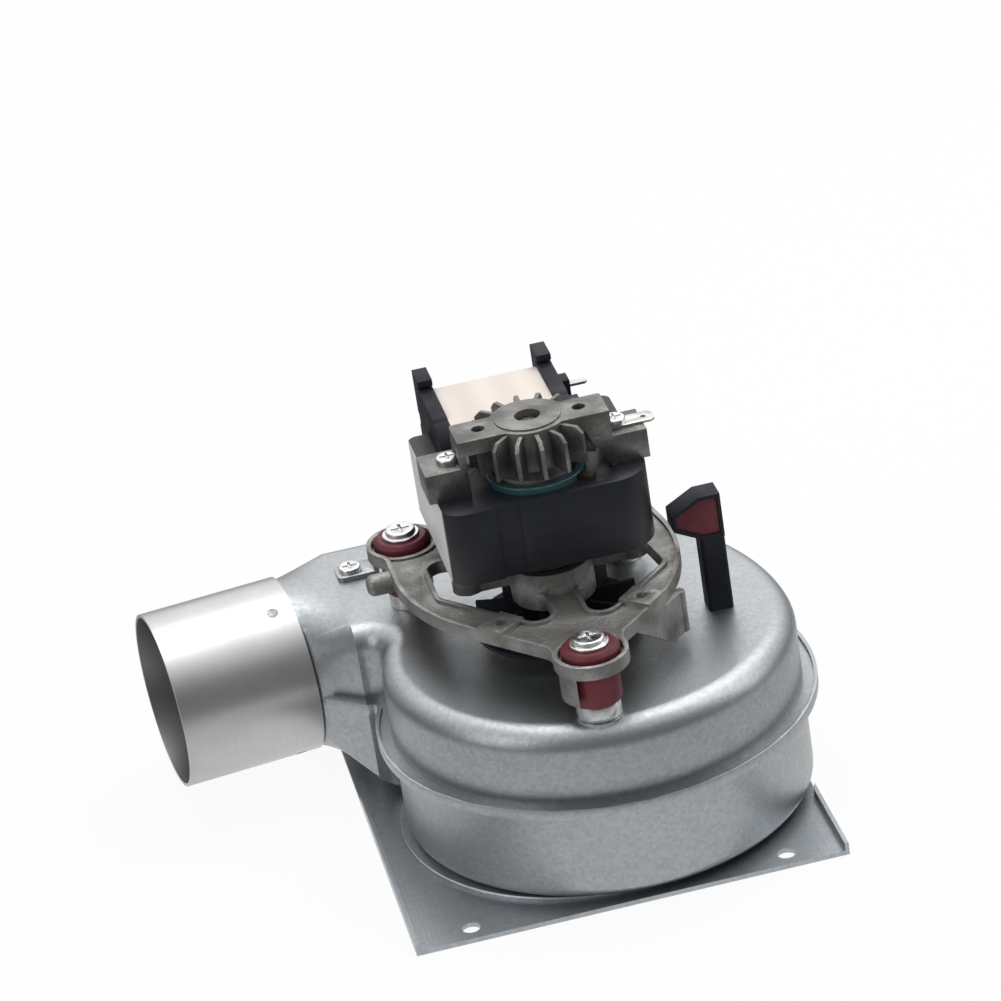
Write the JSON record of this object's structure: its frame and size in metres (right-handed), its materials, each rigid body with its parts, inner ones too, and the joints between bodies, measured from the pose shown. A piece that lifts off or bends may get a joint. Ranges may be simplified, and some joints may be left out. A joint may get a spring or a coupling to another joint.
{
  "type": "boiler exhaust fan",
  "caption": "Scroll-housed flue fan with inlet plate, round outlet pipe and open shaded-pole motor on rubber-buffered spider.",
  "frame": {"origin": "on the fan axis, at the underside of the mounting plate", "axes": "+Z along the fan axis from the inlet towards the motor; the outlet pipe points along -X, turned 7 degrees towards -Y; the plate edge with the two fixing holes faces -Y"},
  "size_m": [0.194, 0.1635, 0.1315],
  "materials": {
    "galvanised_plate": "satin galvanised sheet",
    "housing_lower": "satin galvanised sheet",
    "housing_upper": "satin galvanised sheet",
    "flue_pipe": "satin brushed",
    "rivets": "satin",
    "plate_screws": "bright zinc",
    "wheel_blades": "black coated",
    "wheel_disc": "black coated",
    "wheel_ring": "black coated",
    "wheel_hub": "turned",
    "grub_screw": "black oxide",
    "shaft": "ground",
    "rotor_laminations": "ground laminations",
    "rotor_end_rings": "cast",
    "thrust_washers": "fibre",
    "bearing_lower": "sintered bronze",
    "bearing_upper": "sintered bronze",
    "oil_felt": "oiled felt",
    "spring_discs": "spring steel",
    "cooling_disc": "moulded",
    "stator_laminations": "black lacquer over laminations",
    "shading_copper": "bare copper",
    "teal_ring": "gloss",
    "coil_wrap": "woven tape",
    "copper_winding": "enamelled wire",
    "bobbin_plastic": "moulded",
    "coil_tabs": "tinned",
    "upper_casting": "die cast",
    "motor_screws": "bright zinc",
    "earth_blade": "tinned",
    "lower_casting": "die cast",
    "silicone_buffers": "dark red silicone",
    "spacer_steel": "zinc plated",
    "mount_screws": "bright zinc",
    "weld_nuts": "zinc plated",
    "post_plastic": "moulded",
    "post_silicone": "dark red silicone",
    "clip_steel": "galvanised",
    "clip_screw": "bright zinc"
  },
  "bodies": {
    "motor_and_housing": {"mounting_plate": "galvanised_plate", "lower_shell": "housing_lower", "upper_shell": "housing_upper", "outlet_pipe": "flue_pipe", "pipe_rivets": "rivets", "plate_screws": "plate_screws", "lower_bearing": "bearing_lower", "upper_bearing": "bearing_upper", "felt_rings": "oil_felt", "bearing_retainers": "spring_discs", "stator_stack": "stator_laminations", "shading_rings": "shading_copper", "insulation_ring": "teal_ring", "coil_tape": "coil_wrap", "coil_winding": "copper_winding", "coil_bobbin": "bobbin_plastic", "coil_terminals": "coil_tabs", "upper_bracket": "upper_casting", "motor_screws": "motor_screws", "earth_tab": "earth_blade", "lower_bracket": "lower_casting", "grommets": "silicone_buffers", "grommet_spacers": "spacer_steel", "mount_screws": "mount_screws", "weld_nuts": "weld_nuts", "tap_post": "post_plastic", "tap_plug": "post_silicone", "clip_tab": "clip_steel", "clip_screw": "clip_screw"},
    "rotor": {"rotor_shaft": "shaft", "rotor_core": "rotor_laminations", "rotor_end_rings": "rotor_end_rings", "thrust_washers": "thrust_washers", "impeller_blades": "wheel_blades", "impeller_disc": "wheel_disc", "impeller_ring": "wheel_ring", "impeller_hub": "wheel_hub", "hub_grub_screw": "grub_screw", "cooling_fan": "cooling_disc"}
  },
  "joints": [
    {"name": "rotor_spin", "type": "hinge", "parent": "motor_and_housing", "child": "rotor", "pos_m": [0, 0, 0], "axis": [0, 0, 1], "continuous": true}
  ]
}
